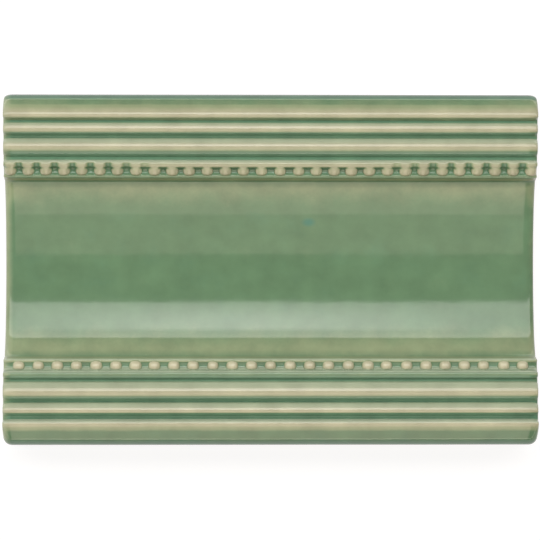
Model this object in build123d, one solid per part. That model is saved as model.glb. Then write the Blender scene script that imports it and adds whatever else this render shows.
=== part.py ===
from build123d import *

import math
import os

# A cornice trim tile that lies on its back: X runs along the tile, +Y is its upper
# edge on the wall and +Z its glazed face. The origin is the middle of the back.
# The section is the same above and below, and drops are measured down from the roll.

# Overall size
LENGTH = 152.0
HEIGHT = 100.0
THICKNESS = 21.0

# Roll along each long edge
ROLL_OUTER_RADIUS = 5.4
ROLL_INNER_WIDTH = 2.1

# Two reeds beside the roll and the three grooves between them
FINE_REED_WIDTH = 4.0
FINE_REED_RISE = 1.4
BROAD_REED_WIDTH = 5.4
BROAD_REED_RISE = 1.9
GROOVE_FLOOR = 0.55
GROOVE_RADIUS = 0.28
FIRST_GROOVE_DROP = 1.95
SECOND_GROOVE_DROP = 2.9
THIRD_GROOVE_DROP = 3.3

# Bead course, a channel between a shoulder and a lip that leans into the cove
SHOULDER_RADIUS = 1.3
SHOULDER_DROP = 2.1
CHANNEL_RADIUS = 1.6
LIP_RADIUS = 0.95
LIP_DROP = 4.1
LIP_SPACING = 3.9
RISER_LEAN = 14.0

# Pillow-shaped beads in the two channels
BEAD_LENGTH = 3.1
BEAD_WIDTH = 2.9
BEAD_SUNK = 1.2
BEAD_END_CLEARANCE = 0.15
UPPER_BEAD_PITCH = 5.12
LOWER_BEAD_PITCH = 5.52

# Cove between the bead courses
COVE_LIP_DROP = 7.0
COVE_LIP_RADIUS = 0.6
COVE_FLOOR_DROP = 12.6
COVE_FLARE_WIDTH = 8.2
COVE_BED_RADIUS = 80.0

# Mortar keys along the back
KEY_COUNT = 6
KEY_PITCH = 14.0
KEY_WIDTH = 6.0
KEY_FLOOR_WIDTH = 5.0
KEY_DEPTH = 1.2

# Arris broken off around the face at both ends
END_CHAMFER = 0.8


def step_in(point, width, drop):
    """The point that lies a width nearer the cove and a drop below the roll."""
    return Vector(point.X - width, THICKNESS - drop)


def channel_centre(shoulder, lip):
    """The centre of the channel, which touches the shoulder's and the lip's circles."""
    across = lip - shoulder
    to_shoulder = SHOULDER_RADIUS + CHANNEL_RADIUS
    to_lip = LIP_RADIUS + CHANNEL_RADIUS
    along = (to_shoulder**2 - to_lip**2 + across.length**2) / (2 * across.length)
    above = math.sqrt(to_shoulder**2 - along**2)
    course = across.normalized()
    return shoulder + course * along + Vector(course.Y, -course.X) * above


ROLL_SPRING = Vector(HEIGHT / 2, THICKNESS - ROLL_OUTER_RADIUS)
ROLL_CREST = step_in(ROLL_SPRING, ROLL_OUTER_RADIUS, 0)
FIRST_GROOVE = step_in(ROLL_CREST, ROLL_INNER_WIDTH, FIRST_GROOVE_DROP)
FINE_REED_START = step_in(FIRST_GROOVE, GROOVE_FLOOR, FIRST_GROOVE_DROP)
SECOND_GROOVE = step_in(FINE_REED_START, FINE_REED_WIDTH, SECOND_GROOVE_DROP)
BROAD_REED_START = step_in(SECOND_GROOVE, GROOVE_FLOOR, SECOND_GROOVE_DROP)
THIRD_GROOVE = step_in(BROAD_REED_START, BROAD_REED_WIDTH, THIRD_GROOVE_DROP)
SHOULDER_START = step_in(THIRD_GROOVE, GROOVE_FLOOR, THIRD_GROOVE_DROP)
SHOULDER_SINK = SHOULDER_DROP + SHOULDER_RADIUS - THIRD_GROOVE_DROP
SHOULDER_REACH = math.sqrt(SHOULDER_RADIUS**2 - SHOULDER_SINK**2)
SHOULDER_CENTRE = step_in(SHOULDER_START, SHOULDER_REACH, SHOULDER_DROP + SHOULDER_RADIUS)
LIP_CENTRE = step_in(SHOULDER_CENTRE, LIP_SPACING, LIP_DROP + LIP_RADIUS)
CHANNEL_CENTRE = channel_centre(SHOULDER_CENTRE, LIP_CENTRE)
LEAN = math.radians(RISER_LEAN)
RISER_TOP = LIP_CENTRE + Vector(-math.cos(LEAN), math.sin(LEAN)) * LIP_RADIUS
RISER_HEIGHT = RISER_TOP.Y - (THICKNESS - COVE_LIP_DROP)
COVE_LIP = step_in(RISER_TOP, RISER_HEIGHT * math.tan(LEAN), COVE_LIP_DROP)
COVE_FLOOR = Vector(0, THICKNESS - COVE_FLOOR_DROP)
BED_REACH = COVE_LIP.X - COVE_FLARE_WIDTH
BED_SAG = COVE_BED_RADIUS - math.sqrt(COVE_BED_RADIUS**2 - BED_REACH**2)
BED_END = COVE_FLOOR + Vector(BED_REACH, BED_SAG)


def round_over(centre, radius, start, end):
    """The arc about a centre from one point to another that bulges the way they turn."""
    middle = ((start + end) * 0.5 - centre).normalized() * radius
    return ThreePointArc(start, centre + middle, end)


def bead_course():
    """The shoulder, the channel and the lip, each running smoothly into the next."""
    to_channel = (CHANNEL_CENTRE - SHOULDER_CENTRE).normalized()
    from_channel = (CHANNEL_CENTRE - LIP_CENTRE).normalized()
    channel_start = SHOULDER_CENTRE + to_channel * SHOULDER_RADIUS
    channel_end = LIP_CENTRE + from_channel * LIP_RADIUS
    return [
        round_over(SHOULDER_CENTRE, SHOULDER_RADIUS, SHOULDER_START, channel_start),
        round_over(CHANNEL_CENTRE, CHANNEL_RADIUS, channel_start, channel_end),
        round_over(LIP_CENTRE, LIP_RADIUS, channel_end, RISER_TOP),
        Line(RISER_TOP, COVE_LIP),
    ]


def half_section(bed):
    """The upper half of the section, from the back's edge to the bed of the cove."""
    return [
        Line((HEIGHT / 2, 0), ROLL_SPRING),
        TangentArc(ROLL_SPRING, ROLL_CREST, tangent=(0, 1)),
        TangentArc(ROLL_CREST, FIRST_GROOVE, tangent=(-1, 0)),
        Line(FIRST_GROOVE, FINE_REED_START),
        SagittaArc(FINE_REED_START, SECOND_GROOVE, -FINE_REED_RISE),
        Line(SECOND_GROOVE, BROAD_REED_START),
        SagittaArc(BROAD_REED_START, THIRD_GROOVE, -BROAD_REED_RISE),
        Line(THIRD_GROOVE, SHOULDER_START),
        *bead_course(),
        TangentArc(BED_END, COVE_LIP, tangent=bed % 1),
    ]


def corners_at(sketch, points):
    """The sketch's corners at the given points, above and below the middle."""
    return [
        corner
        for corner in sketch.vertices()
        for point in points
        if (Vector(abs(corner.X), corner.Y) - point).length < 0.001
    ]


def section():
    """The whole section across the tile, with the grooves rounded and the keys cut."""
    bed = ThreePointArc((-BED_END.X, BED_END.Y), COVE_FLOOR, BED_END)
    upper = half_section(bed)
    lower = [edge.mirror(Plane.YZ) for edge in upper]
    back = Line((HEIGHT / 2, 0), (-HEIGHT / 2, 0))
    outline = Sketch() + Face(Wire([*upper, bed, *lower, back]))
    grooves = [
        FIRST_GROOVE,
        FINE_REED_START,
        SECOND_GROOVE,
        BROAD_REED_START,
        THIRD_GROOVE,
        SHOULDER_START,
    ]
    outline = fillet(corners_at(outline, grooves), GROOVE_RADIUS)
    outline = fillet(corners_at(outline, [COVE_LIP]), COVE_LIP_RADIUS)
    key = Polygon(
        (-KEY_WIDTH / 2, 0),
        (KEY_WIDTH / 2, 0),
        (KEY_FLOOR_WIDTH / 2, KEY_DEPTH),
        (-KEY_FLOOR_WIDTH / 2, KEY_DEPTH),
        align=None,
    )
    return outline - GridLocations(KEY_PITCH, 0, KEY_COUNT, 1) * key


def tile_body():
    """The section drawn out to the tile's length, with the face's arris broken at its ends."""
    body = extrude(Plane.YZ * section(), LENGTH / 2, both=True)
    ends = body.faces().filter_by(Axis.X)
    arris = [edge for edge in ends.edges() if edge.center().Z > KEY_DEPTH]
    return chamfer(arris, END_CHAMFER)


def bead_row(pitch, side):
    """A row of as many beads as the channel holds, on the side +1 above or -1 below."""
    course = SHOULDER_CENTRE - LIP_CENTRE
    lean = math.degrees(math.atan2(course.Y, course.X))
    into_channel = Vector(course.Y, -course.X).normalized()
    centre = CHANNEL_CENTRE + into_channel * (CHANNEL_RADIUS + BEAD_SUNK - BEAD_WIDTH / 2)
    round_along = Rot(0, 90, 0) * Cylinder(BEAD_WIDTH / 2, BEAD_LENGTH)
    round_across = Rot(90, 0, 0) * Cylinder(BEAD_LENGTH / 2, BEAD_WIDTH)
    bead = Rot(side * lean, 0, 0) * (round_along & round_across)
    room = LENGTH - BEAD_LENGTH - 2 * BEAD_END_CLEARANCE
    count = int(room // pitch) + 1
    return [
        Pos((i - (count - 1) / 2) * pitch, side * centre.X, centre.Y) * bead
        for i in range(count)
    ]


upper_beads = bead_row(UPPER_BEAD_PITCH, 1)
lower_beads = bead_row(LOWER_BEAD_PITCH, -1)
cornice_tile = tile_body() + [*upper_beads, *lower_beads]

os.makedirs("parts", exist_ok=True)
export_step(cornice_tile, "parts/cornice_tile.step")
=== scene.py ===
import math

import bmesh
import bpy
from bpy.props import FloatProperty, FloatVectorProperty, IntProperty, PointerProperty
from mathutils import Matrix, Vector, noise


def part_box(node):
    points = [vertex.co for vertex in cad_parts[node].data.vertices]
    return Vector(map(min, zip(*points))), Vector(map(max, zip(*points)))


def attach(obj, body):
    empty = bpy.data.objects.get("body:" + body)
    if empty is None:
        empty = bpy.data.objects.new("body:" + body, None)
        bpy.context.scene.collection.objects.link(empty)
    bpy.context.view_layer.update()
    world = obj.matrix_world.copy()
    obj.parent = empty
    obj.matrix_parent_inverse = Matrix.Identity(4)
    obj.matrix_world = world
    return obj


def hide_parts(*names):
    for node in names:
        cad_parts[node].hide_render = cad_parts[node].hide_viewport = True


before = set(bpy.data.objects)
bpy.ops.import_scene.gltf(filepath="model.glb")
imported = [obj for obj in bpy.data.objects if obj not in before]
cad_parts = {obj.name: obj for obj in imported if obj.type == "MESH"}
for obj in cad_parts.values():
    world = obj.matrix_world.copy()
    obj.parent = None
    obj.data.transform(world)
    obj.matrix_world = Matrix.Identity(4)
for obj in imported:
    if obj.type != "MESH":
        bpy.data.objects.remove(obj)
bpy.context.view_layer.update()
TILE_LOW, TILE_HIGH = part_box("cornice_tile")
MM = 0.001
UPPER, LOWER = 1, -1
# Places nearer to each other than this are one place
TOUCH = 0.001 * MM

bl_info = {
    "name": "Cornice Trim Tile",
    "version": (1, 0, 0),
    "blender": (4, 5, 0),
    "location": "View3D > Sidebar > Cornice Tile",
    "description": "Builds a glazed cornice trim tile and the studio around it",
    "category": "Object",
}


def length(label, about, millimetres):
    """A length that is written in millimetres and kept in metres."""
    return FloatProperty(
        name=label, description=about, default=millimetres * MM, unit="LENGTH", precision=5
    )


def colour(label, about, red, green, blue):
    """A linear colour."""
    return FloatVectorProperty(
        name=label, description=about, default=(red, green, blue), subtype="COLOR", min=0, max=1
    )


class TileSizes(bpy.types.PropertyGroup):
    roll_width: length("Roll width", "From the long edge to the roll's crest", 6.2)
    roll_spring_drop: length("Roll spring", "Drop of the roll's foot on the long edge", 5.9)
    roll_crest_radius: length("Roll crest radius", "Rounding of the roll's crest", 2.2)
    roll_crest_turn: FloatProperty(
        name="Roll crest turn",
        description="Slope at which the crest's rounding ends",
        default=math.radians(24),
        subtype="ANGLE",
    )
    roll_knee_width: length("Roll knee", "From the long edge to the steepening of the roll", 1.7)
    roll_knee_drop: length("Roll knee drop", "Drop of that steepening below the crest", 2.2)
    roll_inner_width: length("Roll inner width", "From the roll's crest to the first groove", 1.3)
    roll_inner_radius: length("Roll inner radius", "Rounding of the crest above that groove", 0.93)
    roll_inner_turn: FloatProperty(
        name="Roll inner turn",
        description="Slope at which that rounding ends",
        default=math.radians(65),
        subtype="ANGLE",
    )
    fine_reed_width: length("Fine reed width", "Width of the reed beside the roll", 4.0)
    fine_reed_rise: length("Fine reed rise", "Height of that reed above its grooves", 1.4)
    broad_reed_width: length("Broad reed width", "Width of the reed beside the beads", 5.4)
    broad_reed_rise: length("Broad reed rise", "Height of that reed above its grooves", 1.9)
    groove_floor: length("Groove floor", "Flat width at the bottom of each groove", 0.55)
    third_floor: length("Third floor", "Flat width of the groove beside the shoulder", 0.8)
    first_groove_drop: length("First groove", "Drop of the groove beside the roll", 1.95)
    second_groove_drop: length("Second groove", "Drop of the groove between the reeds", 2.9)
    third_groove_drop: length("Third groove", "Drop of the groove beside the beads", 3.3)
    groove_tilt: length("Groove tilt", "Rise of the second groove's floor toward the upper edge", 0.3)
    shoulder_radius: length("Shoulder radius", "Rounding of the bead course's shoulder", 1.3)
    shoulder_drop: length("Shoulder drop", "Drop of the shoulder's top below the roll", 2.1)
    channel_radius: length("Channel radius", "Hollow that the beads lie in", 1.35)
    lip_radius: length("Lip radius", "Rounding of the lip over the cove", 0.7)
    lip_drop: length("Lip drop", "Drop of the lip's top below the roll", 4.1)
    lip_spacing: length("Lip spacing", "From the shoulder's middle to the lip's middle", 3.9)
    upper_lip_shift: length("Upper lip shift", "How much further out the upper lip stands", 0.7)
    riser_lean: FloatProperty(
        name="Riser lean",
        description="How far the riser under the lip leans back",
        default=math.radians(14),
        subtype="ANGLE",
    )
    cove_lip_drop: length("Cove lip drop", "Drop of the cove's edges below the roll", 7.0)
    cove_floor_drop: length("Cove floor drop", "Drop of the cove's floor below the roll", 12.6)
    cove_flare_width: length("Cove flare", "Width of the tighter curve at each side", 8.2)
    cove_bed_radius: length("Cove bed radius", "Radius of the wide curve in the middle", 80.0)
    key_pitch: length("Key pitch", "Spacing of the mortar keys in the back", 14.0)
    key_width: length("Key width", "Width of a mortar key at its mouth", 6.0)
    key_floor_width: length("Key floor", "Width of a mortar key at its bottom", 5.0)
    key_depth: length("Key depth", "Depth of a mortar key", 1.2)
    end_round: length("End rounding", "Length over which the glazed ends turn down", 2.4)
    end_fall: length("End fall", "How far the glazed ends turn down", 1.4)
    upper_corner: length("Upper corners", "Rounding of the corners on the upper edge", 1.0)
    lower_corner: length("Lower corners", "Rounding of the corners on the lower edge", 2.2)
    bead_length: length("Bead length", "Length of a bead along the tile", 3.4)
    bead_width: length("Bead width", "Width of a bead across its channel", 3.0)
    bead_neck: length("Bead neck", "Depth of the neck that joins a bead to its shoulder", 0.15)
    upper_bead_shift: length("Upper bead shift", "How far the upper beads sit to the shoulder", 0.6)
    lower_bead_shift: length("Lower bead shift", "How far the lower beads sit to the lip", 0.3)
    bead_sunk: length("Bead sunk", "How far a bead is sunk into its channel", 1.5)
    notch_depth: length("Notch depth", "Depth of the notches in the upper shoulder's ends", 0.7)
    upper_bead_pitch: length("Upper bead pitch", "Spacing of the beads above the cove", 5.12)
    lower_bead_pitch: length("Lower bead pitch", "Spacing of the beads below the cove", 5.52)
    hand_error: length("Hand error", "How far a bead strays from its even place", 0.4)
    unevenness: length("Unevenness", "Slow waves in the glazed surface", 0.05)
    glaze_line: length("Glaze line", "Height above the back where the glaze begins", 2.2)
    columns: IntProperty(
        name="Columns", description="Rows of faces along the plain mouldings", default=156, min=40
    )
    bead_cuts: IntProperty(
        name="Bead cuts", description="Extra rows of faces along the beads", default=4, min=0
    )


class GlazeColours(bpy.types.PropertyGroup):
    bead: colour("Bead", "Clay that shows through on the beads", 0.51, 0.495, 0.34)
    crest: colour("Crest", "Thin glaze over pale clay on the crests", 0.445, 0.44, 0.295)
    slope: colour("Slope", "Glaze of middling depth", 0.30, 0.36, 0.21)
    hollow: colour("Hollow", "Deep glaze in the cove", 0.133, 0.24, 0.133)
    groove: colour("Groove", "Deep glaze in the grooves", 0.12, 0.245, 0.152)
    # The darkest colour, for a full pool of glaze; where the groove floors and the upper edge reach
    # it, it also carries painted shadow and shade
    pool: colour("Pool", "Glaze pooled at the feet of the reeds", 0.08, 0.165, 0.1)
    # Painted sheen: a pale bluish colour for flanks that face the upper edge and the key light, a
    # painted reflection rather than the glaze's own colour
    bloom: colour("Bloom", "Milky bloom on flanks that face the upper edge", 0.4, 0.465, 0.335)
    fleck: colour("Fleck", "Small fleck of stronger colour in the cove", 0.06, 0.22, 0.18)
    biscuit: colour("Biscuit", "Bare fired clay of the back", 0.62, 0.53, 0.4)


class StudioSizes(bpy.types.PropertyGroup):
    camera_height: length("Camera height", "Camera above the back of the tile", 771.0)
    camera_left: length("Camera left", "How far the camera stands to the left", 14.0)
    camera_below: length("Camera below", "How far the camera stands below the middle", 13.0)
    aim_left: length("Aim left", "How far left of the tile's middle the camera aims", 0.3)
    aim_below: length("Aim below", "How far below the tile's middle the camera aims", 0.21)
    view_width: length("View width", "Width that the picture covers at the rolls", 152.93)
    floor_size: length("Floor size", "Width of the floor", 12000.0)
    key_light: FloatProperty(name="Key light", description="Radiance of the key", default=3.6)
    left_light: FloatProperty(
        name="Left light", description="Radiance of the low light at the left end", default=3.0
    )
    right_light: FloatProperty(
        name="Right light", description="Radiance of the low light at the right end", default=0.3
    )
    card_light: FloatProperty(
        name="Card light", description="Radiance of the cards that show in the cove", default=1.0
    )
    horizon_light: FloatProperty(
        name="Horizon light", description="Radiance of the strips at the horizon", default=4.0
    )


def cross(a, b):
    return a.x * b.y - a.y * b.x


def rise_about(centre, start, end):
    """How far an arc about a centre stands off its chord, outwards being positive."""
    begin, finish = start - centre, end - centre
    sweep = math.atan2(cross(begin, finish), begin.dot(finish))
    return (end - start).length / 2 * math.tan(sweep / 4)


def rise_from(tangent, start, end):
    """How far an arc that leaves along a tangent stands off its chord."""
    chord = end - start
    turn = math.atan2(cross(tangent, chord), tangent.dot(chord))
    return chord.length / 2 * math.tan(turn / 2)


class BeadCourse:
    """The hollow between shoulder and lip that a row of beads lies in, in section."""

    def __init__(self, sizes, shoulder_start):
        top = TILE_HIGH.z
        shoulder_height = top - sizes.shoulder_drop - sizes.shoulder_radius
        step = shoulder_start.y - shoulder_height
        self.shoulder = Vector(
            (shoulder_start.x - math.sqrt(sizes.shoulder_radius**2 - step**2), shoulder_height)
        )
        self.lip = Vector(
            (self.shoulder.x - sizes.lip_spacing, top - sizes.lip_drop - sizes.lip_radius)
        )
        span = self.lip - self.shoulder
        self.along = span.normalized()
        self.out = Vector((self.along.y, -self.along.x))
        reach = sizes.shoulder_radius + sizes.channel_radius
        lip_reach = sizes.lip_radius + sizes.channel_radius
        run = (reach**2 - lip_reach**2 + span.length_squared) / (2 * span.length)
        above = math.sqrt(reach**2 - run**2)
        self.channel = self.shoulder + self.along * run + self.out * above
        self.channel_start = self.shoulder.lerp(self.channel, sizes.shoulder_radius / reach)
        self.channel_end = self.lip.lerp(self.channel, sizes.lip_radius / lip_reach)
        lean = sizes.riser_lean
        self.riser_top = self.lip + sizes.lip_radius * Vector((-math.cos(lean), math.sin(lean)))
        self.shoulder_start = shoulder_start


class SectionPen:
    """Draws the tile's section in the plane x = 0, one stroke after another."""

    def __init__(self, bm):
        self.bm = bm
        self.give = bm.verts.layers.float["give"]
        self.tip = bm.verts.new((0, 0, 0))

    def at(self):
        return Vector((self.tip.co.y, self.tip.co.z))

    def line(self, end, steps=1, give=0.0):
        start = self.at()
        for step in range(1, steps + 1):
            self.tip = bmesh.ops.extrude_vert_indiv(self.bm, verts=[self.tip])["verts"][0]
            place = start.lerp(end, step / steps)
            move = Vector((0, *place)) - self.tip.co
            bmesh.ops.translate(self.bm, verts=[self.tip], vec=move)
            self.tip[self.give] = give

    def arc(self, end, rise, steps, give=0.0):
        start = self.at()
        chord = end - start
        left = Vector((-chord.y, chord.x)).normalized()
        reach = (chord.length_squared / 4 - rise**2) / (2 * rise)
        centre = (start + end) / 2 + left * reach
        before = set(self.bm.verts)
        made = bmesh.ops.spin(
            self.bm,
            geom=[self.tip],
            cent=(0, *centre),
            axis=(1, 0, 0),
            angle=4 * math.atan(2 * rise / chord.length),
            steps=steps,
        )
        self.tip = made["geom_last"][0]
        for vert in set(self.bm.verts) - before:
            vert[self.give] = give


# How far the reeds and the lip turn in at the ends, as shares of their own rounding
REED_GIVE, LIP_GIVE = 0.7, 0.6


def draw_half_section(bm, sizes):
    """Draws the section from the middle of the back, round the long edge, to the cove's floor."""
    half, top = TILE_HIGH.y, TILE_HIGH.z
    arris = sizes.end_fall
    reed = sizes.roll_inner_radius * REED_GIVE
    lip = sizes.lip_radius * LIP_GIVE
    floor = Vector((sizes.groove_floor, 0))
    pen = SectionPen(bm)

    middle = sizes.key_pitch / 2
    while middle + sizes.key_width < half:
        pen.line(Vector((middle - sizes.key_width / 2, 0)))
        pen.line(Vector((middle - sizes.key_floor_width / 2, sizes.key_depth)))
        pen.line(Vector((middle + sizes.key_floor_width / 2, sizes.key_depth)))
        pen.line(Vector((middle + sizes.key_width / 2, 0)))
        middle += sizes.key_pitch
    pen.line(Vector((half, 0)), give=arris)

    roll_spring = Vector((half, top - sizes.roll_spring_drop))
    roll_knee = Vector((half - sizes.roll_knee_width, top - sizes.roll_knee_drop))
    roll_crest = Vector((half - sizes.roll_width, top))
    crest_centre = roll_crest - Vector((0, sizes.roll_crest_radius))
    turn = sizes.roll_crest_turn
    crest_start = crest_centre + sizes.roll_crest_radius * Vector((math.sin(turn), math.cos(turn)))
    crest_course = Vector((math.cos(turn), -math.sin(turn)))
    turn = sizes.roll_inner_turn
    inner_centre = roll_crest - Vector((0, sizes.roll_inner_radius))
    inner_end = inner_centre + sizes.roll_inner_radius * Vector((-math.sin(turn), math.cos(turn)))
    first_groove = Vector((roll_crest.x - sizes.roll_inner_width, top - sizes.first_groove_drop))
    fine_start = first_groove - floor
    second_groove = Vector((fine_start.x - sizes.fine_reed_width, top - sizes.second_groove_drop))
    broad_start = second_groove - floor
    third_groove = Vector((broad_start.x - sizes.broad_reed_width, top - sizes.third_groove_drop))
    course = BeadCourse(sizes, third_groove - Vector((sizes.third_floor, 0)))
    course.groove_floors = [
        (fine_start.x, first_groove.x),
        (broad_start.x, second_groove.x),
        (course.shoulder_start.x, third_groove.x),
    ]

    upwards = Vector((0, 1))
    pen.line(roll_spring, 8, arris)
    pen.arc(roll_knee, rise_from(upwards, roll_spring, roll_knee), 8, arris)
    pen.arc(crest_start, -rise_from(crest_course, crest_start, roll_knee), 8, reed)
    pen.arc(roll_crest, rise_about(crest_centre, crest_start, roll_crest), 4, reed)
    pen.arc(inner_end, rise_about(inner_centre, roll_crest, inner_end), 8, reed)
    pen.line(first_groove, 5, reed)
    pen.line(fine_start, 2, reed)
    pen.arc(second_groove, sizes.fine_reed_rise, 12, reed)
    pen.line(broad_start, 2, reed)
    pen.arc(third_groove, sizes.broad_reed_rise, 14, reed)
    pen.line(course.shoulder_start, 2, reed)

    pen.arc(
        course.channel_start,
        rise_about(course.shoulder, course.shoulder_start, course.channel_start),
        14,
        reed,
    )
    pen.arc(
        course.channel_end,
        rise_about(course.channel, course.channel_start, course.channel_end),
        12,
        reed,
    )
    pen.arc(
        course.riser_top,
        rise_about(course.lip, course.channel_end, course.riser_top),
        10,
        lip,
    )

    riser = course.riser_top.y - (top - sizes.cove_lip_drop)
    cove_lip = course.riser_top - Vector((riser * math.tan(sizes.riser_lean), riser))
    cove_floor = Vector((0, top - sizes.cove_floor_drop))
    bed_centre = cove_floor + Vector((0, sizes.cove_bed_radius))
    bed_half = cove_lip.x - sizes.cove_flare_width
    bed_slope = math.asin(bed_half / sizes.cove_bed_radius)
    bed_end = bed_centre + sizes.cove_bed_radius * Vector(
        (math.sin(bed_slope), -math.cos(bed_slope))
    )
    outwards = Vector((math.cos(bed_slope), math.sin(bed_slope)))
    pen.line(cove_lip, 6, lip)
    pen.arc(bed_end, -rise_from(outwards, bed_end, cove_lip), 12, arris)
    pen.arc(cove_floor, rise_about(bed_centre, bed_end, cove_floor), 14, arris)
    return course


def walk_round(bm):
    """The section's vertices in order, from the middle of the back towards the upper edge."""
    start = min(bm.verts, key=lambda vert: (round(abs(vert.co.y), 6), vert.co.z))
    edge = max(start.link_edges, key=lambda link: link.other_vert(start).co.y)
    loop, vert = [start], edge.other_vert(start)
    while vert is not start:
        loop.append(vert)
        edge = next(link for link in vert.link_edges if link is not edge)
        vert = edge.other_vert(vert)
    return loop


# Depth of the glaze, from 0 where the clay shows through to 1 in a full pool. Some depths below also
# carry painted shade: surfaces that face away from the key light, towards the lower edge, get deeper
# and so darker glaze
CREST_GLAZE = 0.07
ROLL_GLAZE = {UPPER: 0.58, LOWER: 0.7}
# Deeper glaze on the roll's outer edge, partly glaze run off the edge and partly painted shade: on
# the upper edge it is mostly a painted dark reflection of the floor beside the tile
EDGE_GLAZE_AND_SHADE = {UPPER: 0.35, LOWER: 0.1}
# Millimetres out from the roll's crest between which the edge's glaze sets in
EDGE_START, EDGE_FULL = 4.3, 5.2
# Glaze gained per millimetre out from that crest, and per square millimetre; the fast gain on the
# lower roll, whose outer face turns away from the key light, is partly painted shade
ROLL_THICKENING_AND_SHADE = {UPPER: (0.06, 0.03), LOWER: (0.27, 0.0)}
INNER_ROLL_GLAZE = {UPPER: 0.55, LOWER: 0.15}
# Glaze gained with the slope of a flank that faces the upper edge, and of one that faces the lower
# edge; the much deeper glaze on flanks facing the lower edge is partly glaze run and partly painted
# shade, as they face away from the key light
UPPER_FACE_GLAZE, LOWER_FACE_GLAZE_AND_SHADE = 0.45, 3.2
# The full pool on the floor of the lower first groove, and at the lower-edge end of the second
# groove's floor, is partly glaze pooled there and partly painted shadow cast by the reed on their
# upper-edge side
GROOVE_GLAZE, POOL_GLAZE_AND_SHADOW = 0.82, 0.93
# The upper lip faces away from the key light, and its deeper, darker glaze is painted shade; the
# lower shoulder also has deeper glaze than the upper one
SHOULDER_GLAZE = {UPPER: 0.18, LOWER: 0.58}
LIP_GLAZE_AND_SHADE = {UPPER: 0.6, LOWER: 0.42}
PIT_GLAZE, NECK_GLAZE = 0.74, 0.25
# Painted highlight in the pits of the lower course, on the walls that face the key light
PIT_PAINTED_HIGHLIGHT = 0.8
RISER_GLAZE = 0.4
COVE_RIM = 2.6 * MM
COVE_RIM_GLAZE, COVE_FLOOR_GLAZE = {UPPER: 0.53, LOWER: 0.46}, 0.69
COVE_THICKENING, FOOT_THICKENING = 0.0285 / MM, 0.06 / MM
# Share of the glaze lost at each ring of an end, and the painted sheen at its last ring: the left
# end, where the low lamp at the left shines, thins more and gets a pale painted highlight
LEFT_END, RIGHT_END = (0.12, 0.45), (0.05, 0.0)


def blend(value, low, high):
    """A smooth step from 0 at low to 1 at high, either of which may be the larger."""
    share = min(max((value - low) / (high - low), 0.0), 1.0)
    return share * share * (3 - 2 * share)


def moulding_glaze(sizes, course, place, out):
    """How deep the glaze lies at a place on the section, from a thin crest to a full pool, with
    painted shade where a surface faces away from the key light.
    """
    reach = abs(place.x)
    side = UPPER if place.x > 0 else LOWER
    crest = TILE_HIGH.y - sizes.roll_width
    if reach > crest:
        outwards = (reach - crest) / MM
        first, second = ROLL_THICKENING_AND_SHADE[side]
        over_roll = min(CREST_GLAZE + first * outwards + second * outwards**2, ROLL_GLAZE[side])
        return over_roll + EDGE_GLAZE_AND_SHADE[side] * blend(outwards, EDGE_START, EDGE_FULL)
    if any(low - TOUCH < reach < high + TOUCH for low, high in course.groove_floors):
        return POOL_GLAZE_AND_SHADOW if place.x < -course.groove_floors[0][0] + TOUCH else GROOVE_GLAZE
    if reach > crest - sizes.roll_inner_width:
        face = INNER_ROLL_GLAZE[side]
    elif out.x > 0:
        face = UPPER_FACE_GLAZE
    else:
        face = LOWER_FACE_GLAZE_AND_SHADE
    if reach > course.shoulder_start.x:
        return min(CREST_GLAZE + face * out.x**2, GROOVE_GLAZE)
    if reach > course.channel.x and side == LOWER:
        ridge = min(SHOULDER_GLAZE[side] + face * out.x**2, GROOVE_GLAZE)
    elif reach > course.channel.x:
        ridge = SHOULDER_GLAZE[side]
    else:
        ridge = LIP_GLAZE_AND_SHADE[side]
    if reach > course.riser_top.x:
        height = (Vector((reach, place.y)) - course.shoulder).dot(course.out)
        if side == UPPER and reach > course.channel.x:
            share = blend(height, sizes.shoulder_radius, sizes.shoulder_radius * 0.72)
            share *= blend(reach, course.shoulder.x + 0.4 * MM, course.shoulder.x)
        else:
            share = blend(height, sizes.lip_radius, sizes.lip_radius * 0.2)
            share *= blend(reach, course.shoulder.x, course.channel_start.x)
        return ridge + (PIT_GLAZE - ridge) * share
    if place.y > TILE_HIGH.z - sizes.cove_lip_drop:
        return RISER_GLAZE
    inwards = course.riser_top.x - COVE_RIM - reach
    if inwards < 0:
        return COVE_RIM_GLAZE[side] - FOOT_THICKENING * inwards
    return min(COVE_RIM_GLAZE[side] + COVE_THICKENING * inwards, COVE_FLOOR_GLAZE)


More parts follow.
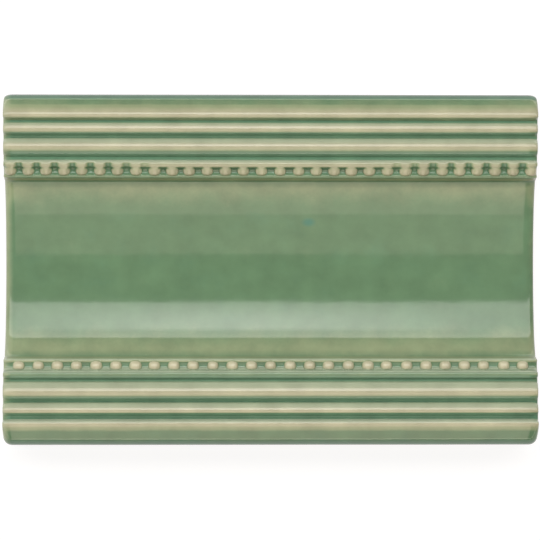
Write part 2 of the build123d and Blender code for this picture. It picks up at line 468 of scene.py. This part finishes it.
def lay_glaze(bm, sizes, course):
    """Marks each vertex with its outward direction, the glaze's depth and its painted sheen, a pale
    painted reflection on flanks that face the upper edge.
    """
    out_layer = bm.verts.layers.float_vector["out"]
    glaze = bm.verts.layers.float["glaze"]
    bloom = bm.verts.layers.float["bloom"]
    give = bm.verts.layers.float["give"]
    loop = walk_round(bm)
    for i, vert in enumerate(loop):
        tangent = (loop[(i + 1) % len(loop)].co - loop[i - 1].co).yz.normalized()
        out = Vector((tangent.y, -tangent.x))
        vert[out_layer] = Vector((0, *out))
        if vert.co.z < TOUCH and abs(vert.co.y) > TILE_HIGH.y - TOUCH:
            vert[out_layer] = Vector((0, math.copysign(1, vert.co.y), 0))
        place = vert.co.yz
        vert[glaze] = min(moulding_glaze(sizes, course, place, out), 1.0)
        # The second groove's floor tilts up towards the upper edge, and its glaze deepens to a full
        # pool towards its lower-edge end, partly as painted shadow
        low, high = course.groove_floors[1]
        if low - TOUCH < abs(place.x) < high + TOUCH:
            ramp = (abs(place.x) - low) / (high - low)
            ramp = ramp if place.x > 0 else 1 - ramp
            vert.co.z += sizes.groove_tilt * ramp
            vert[glaze] = GROOVE_GLAZE + (POOL_GLAZE_AND_SHADOW - GROOVE_GLAZE) * (1 - ramp)
        on_reeds = course.riser_top.x < abs(place.x) < TILE_HIGH.y - sizes.roll_width
        # Painted sheen: flanks that face the upper edge, towards the key light, get a pale painted
        # reflection, less where the glaze is deep; in the lower course's channel it is a painted
        # highlight in the pits
        if on_reeds:
            clear = 1 - vert[glaze]
            if abs(place.x) < (course.shoulder.x + course.channel_start.x) / 2:
                clear = PIT_PAINTED_HIGHLIGHT if place.x < 0 else 0.0
            vert[bloom] = blend(out.x, 0.15, 0.6) * clear
        corner = sizes.upper_corner if place.x > 0 else sizes.lower_corner
        past_crest = blend(abs(place.x), TILE_HIGH.y - sizes.roll_width, TILE_HIGH.y)
        if past_crest > 0:
            vert[give] += (corner - vert[give]) * past_crest


END_RINGS = 5


def round_end(bm, sizes, way):
    """Turns the section in at one end of the tile and closes it."""
    give = bm.verts.layers.float["give"]
    out = bm.verts.layers.float_vector["out"]
    glaze = bm.verts.layers.float["glaze"]
    bloom = bm.verts.layers.float["bloom"]
    thinning, pale = LEFT_END if way < 0 else RIGHT_END
    rim = [e for e in bm.edges if e.is_boundary and e.verts[0].co.x * way > 0]
    for ring in range(1, END_RINGS + 1):
        before = math.radians(90 * (ring - 1) / END_RINGS)
        now = math.radians(90 * ring / END_RINGS)
        made = bmesh.ops.extrude_edge_only(bm, edges=rim)["geom"]
        rim = [e for e in made if isinstance(e, bmesh.types.BMEdge) and e.is_boundary]
        for vert in {v for e in rim for v in e.verts}:
            vert.co.x += way * sizes.end_round * (math.sin(now) - math.sin(before))
            vert.co -= vert[out] * vert[give] * (math.cos(before) - math.cos(now))
            # The glaze thins over the end's rounding; at the left end a pale painted highlight is
            # laid on too
            vert[glaze] *= 1 - thinning
            vert[bloom] = max(vert[bloom], pale * ring / END_RINGS)
    bmesh.ops.contextual_create(bm, geom=rim)


# Powers that make a bead's outline squarer and its dome flatter than an ellipse's
BEAD_SQUARENESS, BEAD_FLATNESS = 2.6, 2.2
BEAD_SPREAD = 0.1
NECK_REACH = 0.9 * MM


def lift_out(vert, course, side, amount):
    """Moves a vertex out of its channel, or into it when the amount is negative."""
    lift = course.out * amount
    vert.co += Vector((0, lift.x * side, lift.y))


def raise_beads(bm, sizes, course, side):
    """Raises one row of beads in its channel, each a little out of its even place and size."""
    glaze = bm.verts.layers.float["glaze"]
    bloom = bm.verts.layers.float["bloom"]
    pitch = sizes.upper_bead_pitch if side == UPPER else sizes.lower_bead_pitch
    room = TILE_HIGH.x - TILE_LOW.x - sizes.bead_length
    count = int(room // pitch) + 1
    first = -(count - 1) / 2 * pitch
    sunk = sizes.channel_radius + sizes.bead_sunk - sizes.bead_width / 2
    shoulder = (course.shoulder - course.channel).dot(course.along)
    shoulder_top = (course.shoulder - course.channel).dot(course.out) + sizes.shoulder_radius
    lip = (course.lip - course.channel).dot(course.along)
    lip_top = (course.lip - course.channel).dot(course.out) + sizes.lip_radius
    lean = sizes.lower_bead_shift if side == LOWER else -sizes.upper_bead_shift
    moved = {}
    for vert in bm.verts:
        if vert.co.y * side < 0 or vert.co.z < course.channel_end.y - sizes.channel_radius:
            continue
        on_end_cap = abs(vert.co.x) > TILE_HIGH.x - 10 * TOUCH
        if on_end_cap:
            continue
        place = Vector((abs(vert.co.y), vert.co.z)) - course.channel
        across, height = place.dot(course.along), place.dot(course.out)
        if not shoulder - sizes.shoulder_radius < across < sizes.bead_width:
            continue
        number = min(max(round((vert.co.x - first) / pitch), 0), count - 1)
        chance = Vector((number * 1.37 + 0.31, side * 2.6, 0.4))
        stray = sizes.hand_error * noise.noise(chance)
        size = 1 + BEAD_SPREAD * noise.noise(chance + Vector((0, 9.1, 0)))
        apart = abs(vert.co.x - first - number * pitch - stray)
        if side == UPPER:
            near_end = blend(abs(vert.co.x), 0.35 * TILE_HIGH.x, 0.65 * TILE_HIGH.x)
            between_beads = blend(apart, sizes.bead_length * 0.3, pitch * 0.42)
            over_top = blend(across, shoulder - sizes.shoulder_radius, shoulder * 1.1)
            notch = near_end * between_beads * over_top * blend(across, 0, shoulder * 0.6)
            if notch > 0.01:
                lift_out(vert, course, side, -sizes.notch_depth * notch)
                vert[glaze] += (PIT_GLAZE - vert[glaze]) * notch
                vert[bloom] *= 1 - notch
                moved[vert] = None
        if side == UPPER and shoulder < across < lip:
            slope = (across - shoulder) / (lip - shoulder)
            level = shoulder_top + (lip_top - shoulder_top) * slope
            from_neck = abs(across - (shoulder + lean) / 2)
            level -= sizes.bead_neck * blend(from_neck, NECK_REACH, 0)
            half = sizes.bead_length * size / 2
            bar = blend(apart, half, half * 0.35)
            bar *= blend(across, lean + sizes.bead_width / 2, lean + sizes.bead_width * 0.2)
            rise = max(level - height, 0.0) * bar
            if rise > 0:
                lift_out(vert, course, side, rise)
                vert[glaze] += (NECK_GLAZE - vert[glaze]) * bar
                height += rise
                moved[vert] = None
        along = apart * 2 / (sizes.bead_length * size)
        over = (across - lean) * 2 / (sizes.bead_width * size)
        inside = 1 - along**BEAD_SQUARENESS - abs(over) ** BEAD_SQUARENESS
        if inside <= 0:
            continue
        dome = sizes.bead_width / 2 * size * inside ** (1 / BEAD_FLATNESS) - sunk
        if dome <= height:
            continue
        lift_out(vert, course, side, dome - height)
        share = min((dome - height) / (sizes.bead_sunk * 0.5), 1.0)
        vert[glaze] *= 1 - share
        vert[bloom] *= 1 - share
        moved[vert] = None
    return list(moved)


def soften(bm, verts, factor):
    """Draws the vertices towards their neighbours."""
    bmesh.ops.smooth_vert(
        bm, verts=verts, factor=factor, use_axis_x=True, use_axis_y=True, use_axis_z=True
    )


# Waves per metre, along the tile and across it
WAVES_ALONG, WAVES_ACROSS = 28, 70


def wave(bm, sizes):
    """Gives the glazed surface the slow unevenness of a pressed and fired piece."""
    out = bm.verts.layers.float_vector["out"]
    for vert in bm.verts:
        if vert.co.z < sizes.key_depth * 1.5:
            continue
        where = Vector((vert.co.x * WAVES_ALONG, vert.co.y * WAVES_ACROSS, 0.7))
        vert.co -= vert[out] * sizes.unevenness * (1 + noise.noise(where)) / 2


CRISP_ANGLE = math.radians(40)
END_CAP_FACING = 0.999
BEAD_SOFTENINGS = 3
# Mouldings that the hand-cut mould leaves out of their even places across the tile:
# the middle and half width of the strip that strays, and how far it goes to the upper edge
STRAYS = (
    (42.2 * MM, 1.2 * MM, -0.25 * MM),
    (39.8 * MM, 1.8 * MM, -0.4 * MM),
    (-32.1 * MM, 1.1 * MM, 0.25 * MM),
    (-34.6 * MM, 2.0 * MM, -0.2 * MM),
    (-38.0 * MM, 1.2 * MM, 0.25 * MM),
    (-41.5 * MM, 1.4 * MM, 0.42 * MM),
    (-43.0 * MM, 0.8 * MM, 0.15 * MM),
)


def tile_mesh(sizes):
    """Runs the section along the tile, closes its ends and raises the beads."""
    bm = bmesh.new()
    bm.verts.layers.float.new("give")
    bm.verts.layers.float.new("glaze")
    bm.verts.layers.float.new("bloom")
    bm.verts.layers.float_vector.new("out")
    course = draw_half_section(bm, sizes)
    bmesh.ops.mirror(
        bm,
        geom=bm.verts[:] + bm.edges[:],
        matrix=Matrix.Identity(4),
        merge_dist=10 * TOUCH,
        axis="Y",
    )
    lay_glaze(bm, sizes, course)

    flare = course.riser_top.x - sizes.cove_flare_width
    for vert in bm.verts:
        if vert.co.z > sizes.key_depth * 2:
            beside = blend(vert.co.y, flare, course.riser_top.x)
            beside *= blend(vert.co.y, course.shoulder.x, course.lip.x)
            vert.co.y += sizes.upper_lip_shift * beside
            for middle, half, shift in STRAYS:
                apart = (vert.co.y - middle) / half
                vert.co.y += shift * max(1 - apart**2, 0) ** 2

    run = TILE_HIGH.x - sizes.end_round
    bmesh.ops.translate(bm, verts=bm.verts, vec=(-run, 0, 0))
    bmesh.ops.spin(
        bm,
        geom=bm.verts[:] + bm.edges[:],
        cent=(0, 0, 0),
        axis=(1, 0, 0),
        dvec=(2 * run / sizes.columns, 0, 0),
        angle=0,
        steps=sizes.columns,
    )
    inner, outer = course.riser_top.x, course.shoulder_start.x
    fine = [
        edge
        for edge in bm.edges
        if edge.verts[0].co.z > course.lip.y / 2
        and all(inner < abs(v.co.y) < outer for v in edge.verts)
        and abs(edge.verts[0].co.x - edge.verts[1].co.x) > 0.1 * MM
    ]
    bmesh.ops.subdivide_edges(bm, edges=fine, cuts=sizes.bead_cuts, use_grid_fill=True)
    for way in (1, -1):
        round_end(bm, sizes, way)
    for side in (UPPER, LOWER):
        beads = raise_beads(bm, sizes, course, side)
        for _ in range(BEAD_SOFTENINGS):
            soften(bm, beads, 0.5)
    wave(bm, sizes)

    bmesh.ops.remove_doubles(bm, verts=bm.verts, dist=TOUCH)
    bmesh.ops.recalc_face_normals(bm, faces=bm.faces)
    back_top = sizes.key_depth * 1.01
    back = [f for f in bm.faces if f.calc_center_median().z < back_top]
    bmesh.ops.dissolve_limit(
        bm,
        angle_limit=math.radians(0.5),
        use_dissolve_boundaries=False,
        verts=list({v for f in back for v in f.verts}),
        edges=list({e for f in back for e in f.edges}),
    )
    for face in bm.faces:
        face.smooth = face.calc_center_median().z > back_top
        if abs(face.normal.x) > END_CAP_FACING:
            face.smooth = False
    for edge in bm.edges:
        edge.smooth = all(f.smooth for f in edge.link_faces)
        if edge.calc_face_angle(0) > CRISP_ANGLE:
            edge.smooth = False
    for name, kind in (("give", "float"), ("out", "float_vector")):
        layers = getattr(bm.verts.layers, kind)
        layers.remove(layers[name])
    mesh = bpy.data.meshes.new("glazed_cornice_tile")
    bm.to_mesh(mesh)
    bm.free()
    return mesh


def add_node(tree, kind, **settings):
    made = tree.nodes.new(kind)
    for name, value in settings.items():
        setattr(made, name, value)
    return made


def join(tree, source, target):
    tree.links.new(source, target)


def number(tree, operation, *values):
    """A Math node whose inputs are sockets or plain numbers."""
    made = add_node(tree, "ShaderNodeMath", operation=operation)
    for socket, value in zip(made.inputs, values):
        if isinstance(value, (int, float)):
            socket.default_value = value
        else:
            join(tree, value, socket)
    return made.outputs[0]


def between(tree, value, low, high, start=0.0, end=1.0):
    """A smooth step from the start at low to the end at high."""
    made = add_node(tree, "ShaderNodeMapRange", interpolation_type="SMOOTHSTEP")
    join(tree, value, made.inputs["Value"])
    for name, amount in zip(("From Min", "From Max", "To Min", "To Max"), (low, high, start, end)):
        made.inputs[name].default_value = amount
    return made.outputs["Result"]


def mottle(tree, coordinates, size, detail):
    """Noise whose patches are about as large as the size."""
    made = add_node(tree, "ShaderNodeTexNoise")
    made.inputs["Scale"].default_value = 1 / size
    made.inputs["Detail"].default_value = detail
    join(tree, coordinates, made.inputs["Vector"])
    return made.outputs["Fac"]


def mix_colour(tree, share, first, second):
    made = add_node(tree, "ShaderNodeMix", data_type="RGBA")
    join(tree, share, made.inputs["Factor"])
    for socket, value in ((made.inputs[6], first), (made.inputs[7], second)):
        if isinstance(value, bpy.types.NodeSocket):
            join(tree, value, socket)
        else:
            socket.default_value = (*value, 1)
    return made.outputs[2]


# How much the clouds and the grain shift the glaze's depth, and the patches its tone
CLOUD_SHIFT, GRAIN_SHIFT, PATCH_SHIFT = 0.16, 0.05, 0.45
# Where the one fleck in the cove lies, and its size
FLECK_PLACE = (11 * MM, 13.7 * MM, 9.6 * MM)
FLECK_SIZE = (2.2 * MM, 1.4 * MM, 2 * MM)


def celadon_glaze(sizes, colours):
    """Green glaze that runs off the crests into the grooves, over bare clay at the back, with a
    painted sheen and painted shade laid into its colour.
    """
    material = bpy.data.materials.new("celadon_glaze")
    material.use_nodes = True
    tree = material.node_tree
    shader = tree.nodes["Principled BSDF"]
    place = add_node(tree, "ShaderNodeTexCoord").outputs["Object"]
    apart = add_node(tree, "ShaderNodeSeparateXYZ")
    join(tree, place, apart.inputs[0])
    laid = add_node(tree, "ShaderNodeAttribute", attribute_name="glaze").outputs["Fac"]

    clouds = mottle(tree, place, 9 * MM, 2)
    grain = mottle(tree, place, 0.9 * MM, 3)
    patches = mottle(tree, place, 6 * MM, 4)
    depth = number(tree, "MULTIPLY_ADD", number(tree, "SUBTRACT", clouds, 0.5), CLOUD_SHIFT, laid)
    depth = number(tree, "MULTIPLY_ADD", number(tree, "SUBTRACT", grain, 0.5), GRAIN_SHIFT, depth)

    ramp = add_node(tree, "ShaderNodeValToRGB")
    ramp.color_ramp.interpolation = "EASE"
    stops = (
        (0.0, colours.bead),
        (0.1, colours.crest),
        (0.42, colours.slope),
        (0.68, colours.hollow),
        (0.82, colours.groove),
        (1.0, colours.pool),
    )
    while len(ramp.color_ramp.elements) < len(stops):
        ramp.color_ramp.elements.new(0.5)
    for element, (position, shade) in zip(ramp.color_ramp.elements, stops):
        element.position = position
        element.color = (*shade, 1)
    join(tree, depth, ramp.inputs["Fac"])

    fleck = add_node(tree, "ShaderNodeMapping", vector_type="TEXTURE")
    fleck.inputs["Location"].default_value = FLECK_PLACE
    fleck.inputs["Scale"].default_value = FLECK_SIZE
    join(tree, place, fleck.inputs["Vector"])
    spread = add_node(tree, "ShaderNodeVectorMath", operation="LENGTH")
    join(tree, fleck.outputs[0], spread.inputs[0])
    stain = between(tree, spread.outputs["Value"], 0.2, 1.2, 0.65, 0.0)
    # The painted sheen, a pale painted reflection, laid over the glaze's colour
    painted_sheen_share = add_node(tree, "ShaderNodeAttribute", attribute_name="bloom").outputs["Fac"]
    glazed = mix_colour(tree, painted_sheen_share, ramp.outputs["Color"], colours.bloom)
    glazed = mix_colour(tree, stain, glazed, colours.fleck)
    tone = number(tree, "MULTIPLY_ADD", number(tree, "SUBTRACT", patches, 0.5), PATCH_SHIFT, 1.0)
    shaded = add_node(tree, "ShaderNodeVectorMath", operation="SCALE")
    join(tree, glazed, shaded.inputs[0])
    join(tree, tone, shaded.inputs["Scale"])
    glazed = shaded.outputs[0]

    ragged = mottle(tree, place, 3 * MM, 3)
    height = number(tree, "MULTIPLY_ADD", ragged, -1.6 * MM, apart.outputs["Z"])
    line = sizes.glaze_line
    under = between(tree, height, line - 0.9 * MM, line - 0.6 * MM, 1.0, 0.0)
    reach = number(tree, "ABSOLUTE", apart.outputs["X"])
    reach = number(tree, "MULTIPLY_ADD", ragged, 0.04 * MM, reach)
    end = TILE_HIGH.x
    past = between(tree, reach, end - 0.002 * MM, end + 0.004 * MM)
    bare = number(tree, "MAXIMUM", under, past)
    clay = mix_colour(tree, grain, colours.biscuit, [c * 0.78 for c in colours.biscuit])
    join(tree, mix_colour(tree, bare, glazed, clay), shader.inputs["Base Color"])

    gloss = between(tree, clouds, 0.3, 0.7, 0.06, 0.1)
    rough = number(tree, "MULTIPLY_ADD", bare, 0.75, gloss)
    join(tree, rough, shader.inputs["Roughness"])
    shader.inputs["IOR"].default_value = 1.5

    skin = mottle(tree, place, 2.2 * MM, 1)
    bump = add_node(tree, "ShaderNodeBump")
    bump.inputs["Distance"].default_value = 0.02 * MM
    bump.inputs["Strength"].default_value = 0.35
    join(tree, skin, bump.inputs["Height"])
    join(tree, bump.outputs["Normal"], shader.inputs["Normal"])
    return material


class CORNICE_OT_tile(bpy.types.Operator):
    """Draw the moulded section, run it along the tile, raise the beads and glaze it"""

    bl_idname = "cornice.tile"
    bl_label = "Glazed Tile"

    def execute(self, context):
        sizes = context.scene.cornice_tile
        tile = bpy.data.objects.new("glazed_cornice_tile", tile_mesh(sizes))
        context.scene.collection.objects.link(tile)
        tile.data.materials.append(celadon_glaze(sizes, context.scene.cornice_glaze))
        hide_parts("cornice_tile")
        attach(tile, "root")
        return {"FINISHED"}


def studio_floor(scene, studio):
    """A floor that looks white but, being grey to the light, throws little of it back."""
    bm = bmesh.new()
    bmesh.ops.create_grid(bm, x_segments=1, y_segments=1, size=studio.floor_size / 2)
    bmesh.ops.translate(bm, verts=bm.verts, vec=(0, 0, TILE_LOW.z - 0.05 * MM))
    mesh = bpy.data.meshes.new("studio_floor")
    bm.to_mesh(mesh)
    bm.free()
    floor = bpy.data.objects.new("studio_floor", mesh)
    scene.collection.objects.link(floor)

    material = bpy.data.materials.new("white_floor")
    material.use_nodes = True
    tree = material.node_tree
    shader = tree.nodes["Principled BSDF"]
    shader.inputs["Base Color"].default_value = (0.2, 0.2, 0.2, 1)
    shader.inputs["Roughness"].default_value = 0.9
    shader.inputs["Emission Color"].default_value = (1, 1, 1, 1)
    rays = add_node(tree, "ShaderNodeLightPath")
    seen = number(tree, "MAXIMUM", rays.outputs["Is Camera Ray"], rays.outputs["Is Glossy Ray"])
    seen = number(tree, "MAXIMUM", seen, rays.outputs["Is Transmission Ray"])
    join(tree, number(tree, "MULTIPLY", seen, 0.85), shader.inputs["Emission Strength"])
    floor.data.materials.append(material)


def studio_world(scene):
    """A dim room around the lamps and cards."""
    world = bpy.data.worlds.new("studio_world")
    scene.world = world
    world.use_nodes = True
    background = world.node_tree.nodes["Background"]
    background.inputs["Color"].default_value = (0.12, 0.12, 0.12, 1)


def soft_box(scene, name, place, size, radiance, tint=(1, 1, 1), lights=True, shows=True):
    """A rectangular lamp that faces the tile, with its brightness given as radiance. One that
    doesn't light the tile only shows in its glaze, and one that doesn't show only lights it."""
    data = bpy.data.lights.new(name, "AREA")
    data.shape = "RECTANGLE"
    data.size, data.size_y = size
    data.energy = math.pi * size[0] * size[1] * radiance
    data.color = tint
    lamp = bpy.data.objects.new(name, data)
    lamp.location = place
    lamp.rotation_euler = Vector(place).to_track_quat("Z", "Y").to_euler()
    lamp.visible_camera = False
    lamp.visible_diffuse = lights
    lamp.visible_glossy = shows
    scene.collection.objects.link(lamp)
    return lamp


def hot_middle(data):
    """Makes a soft box brightest in its middle and dimmer towards its ends."""
    data.use_nodes = True
    tree = data.node_tree
    place = add_node(tree, "ShaderNodeNewGeometry").outputs["Parametric"]
    apart = add_node(tree, "ShaderNodeSeparateXYZ")
    join(tree, place, apart.inputs[0])
    along = number(tree, "ABSOLUTE", number(tree, "SUBTRACT", apart.outputs["X"], 0.5))
    ends = between(tree, along, 0.0, 0.1, 1.0, 0.0)
    across = number(tree, "ABSOLUTE", number(tree, "SUBTRACT", apart.outputs["Y"], 0.68))
    middle = between(tree, across, 0.0, 0.35, 0.9, 0.0)
    level = number(tree, "MULTIPLY_ADD", ends, middle, 1.0)
    join(tree, level, tree.nodes["Emission"].inputs["Strength"])


def from_above(angle, distance):
    """A place at an angle from the zenith, towards the upper edge when positive."""
    return (0, distance * math.sin(math.radians(angle)), distance * math.cos(math.radians(angle)))


KEY_TINT, CARD_TINT, HORIZON_TINT = (1, 0.97, 0.94), (1.06, 0.85, 0.72), (1, 0.97, 0.8)
KEY_ANGLE, KEY_DISTANCE, KEY_SIZE = 26.3, 0.9, (2.0, 0.43)
END_BOX_SIZE = (0.8, 0.5)


class CORNICE_OT_studio(bpy.types.Operator):
    """Lay a pale floor, hang the soft boxes and stand the camera over the tile"""

    bl_idname = "cornice.studio"
    bl_label = "Studio"

    def execute(self, context):
        scene = context.scene
        studio = scene.cornice_studio
        studio_floor(scene, studio)
        studio_world(scene)
        over = from_above(KEY_ANGLE, KEY_DISTANCE)
        key = soft_box(scene, "key_box", over, KEY_SIZE, studio.key_light, KEY_TINT)
        hot_middle(key.data)
        low = END_BOX_SIZE
        soft_box(scene, "left_box", (-0.97, 0, 0.26), low, studio.left_light, shows=False)
        soft_box(scene, "right_box", (0.97, 0, 0.26), low, studio.right_light, shows=False)
        warm = CARD_TINT
        soft_box(scene, "near_card", from_above(-42, 0.75), (0.4, 1.135), studio.card_light, warm)
        soft_box(scene, "far_card", from_above(-49, 0.8), (0.4, 0.887), studio.card_light, warm)
        pale = HORIZON_TINT
        strip = studio.horizon_light
        soft_box(scene, "upper_horizon", (0, 2, 0.15), (5, 0.3), strip, pale, lights=False)
        soft_box(scene, "lower_horizon", (0, -2, 0.5), (5, 0.14), strip, pale, lights=False)

        data = bpy.data.cameras.new("studio_camera")
        camera = bpy.data.objects.new("studio_camera", data)
        scene.collection.objects.link(camera)
        stand = Vector((-studio.camera_left, -studio.camera_below, studio.camera_height))
        aim = Vector((-studio.aim_left, -studio.aim_below, TILE_HIGH.z))
        back = (stand - aim).normalized()
        right = Vector((0, 1, 0)).cross(back).normalized()
        turn = Matrix((right, back.cross(right), back)).transposed()
        camera.location = stand
        camera.rotation_euler = turn.to_euler()
        data.sensor_width = 36
        data.lens = data.sensor_width * (stand - aim).length / studio.view_width
        data.clip_start, data.clip_end = 0.01, 100
        scene.camera = camera
        scene.view_settings.view_transform = "Standard"
        return {"FINISHED"}


class CORNICE_PT_panel(bpy.types.Panel):
    bl_idname = "CORNICE_PT_panel"
    bl_label = "Cornice Tile"
    bl_space_type = "VIEW_3D"
    bl_region_type = "UI"
    bl_category = "Cornice Tile"

    def draw(self, context):
        for operator in (CORNICE_OT_tile, CORNICE_OT_studio):
            self.layout.operator(operator.bl_idname)
        for group in ("cornice_tile", "cornice_glaze", "cornice_studio"):
            settings = getattr(context.scene, group)
            box = self.layout.box()
            for name in settings.__annotations__:
                box.prop(settings, name)


CLASSES = (
    TileSizes,
    GlazeColours,
    StudioSizes,
    CORNICE_OT_tile,
    CORNICE_OT_studio,
    CORNICE_PT_panel,
)


def register():
    for kind in CLASSES:
        bpy.utils.register_class(kind)
    bpy.types.Scene.cornice_tile = PointerProperty(type=TileSizes)
    bpy.types.Scene.cornice_glaze = PointerProperty(type=GlazeColours)
    bpy.types.Scene.cornice_studio = PointerProperty(type=StudioSizes)


def unregister():
    del bpy.types.Scene.cornice_tile
    del bpy.types.Scene.cornice_glaze
    del bpy.types.Scene.cornice_studio
    for kind in reversed(CLASSES):
        bpy.utils.unregister_class(kind)


def main():
    register()
    bpy.ops.cornice.studio()
    bpy.ops.cornice.tile()


if __name__ == "__main__":
    main()
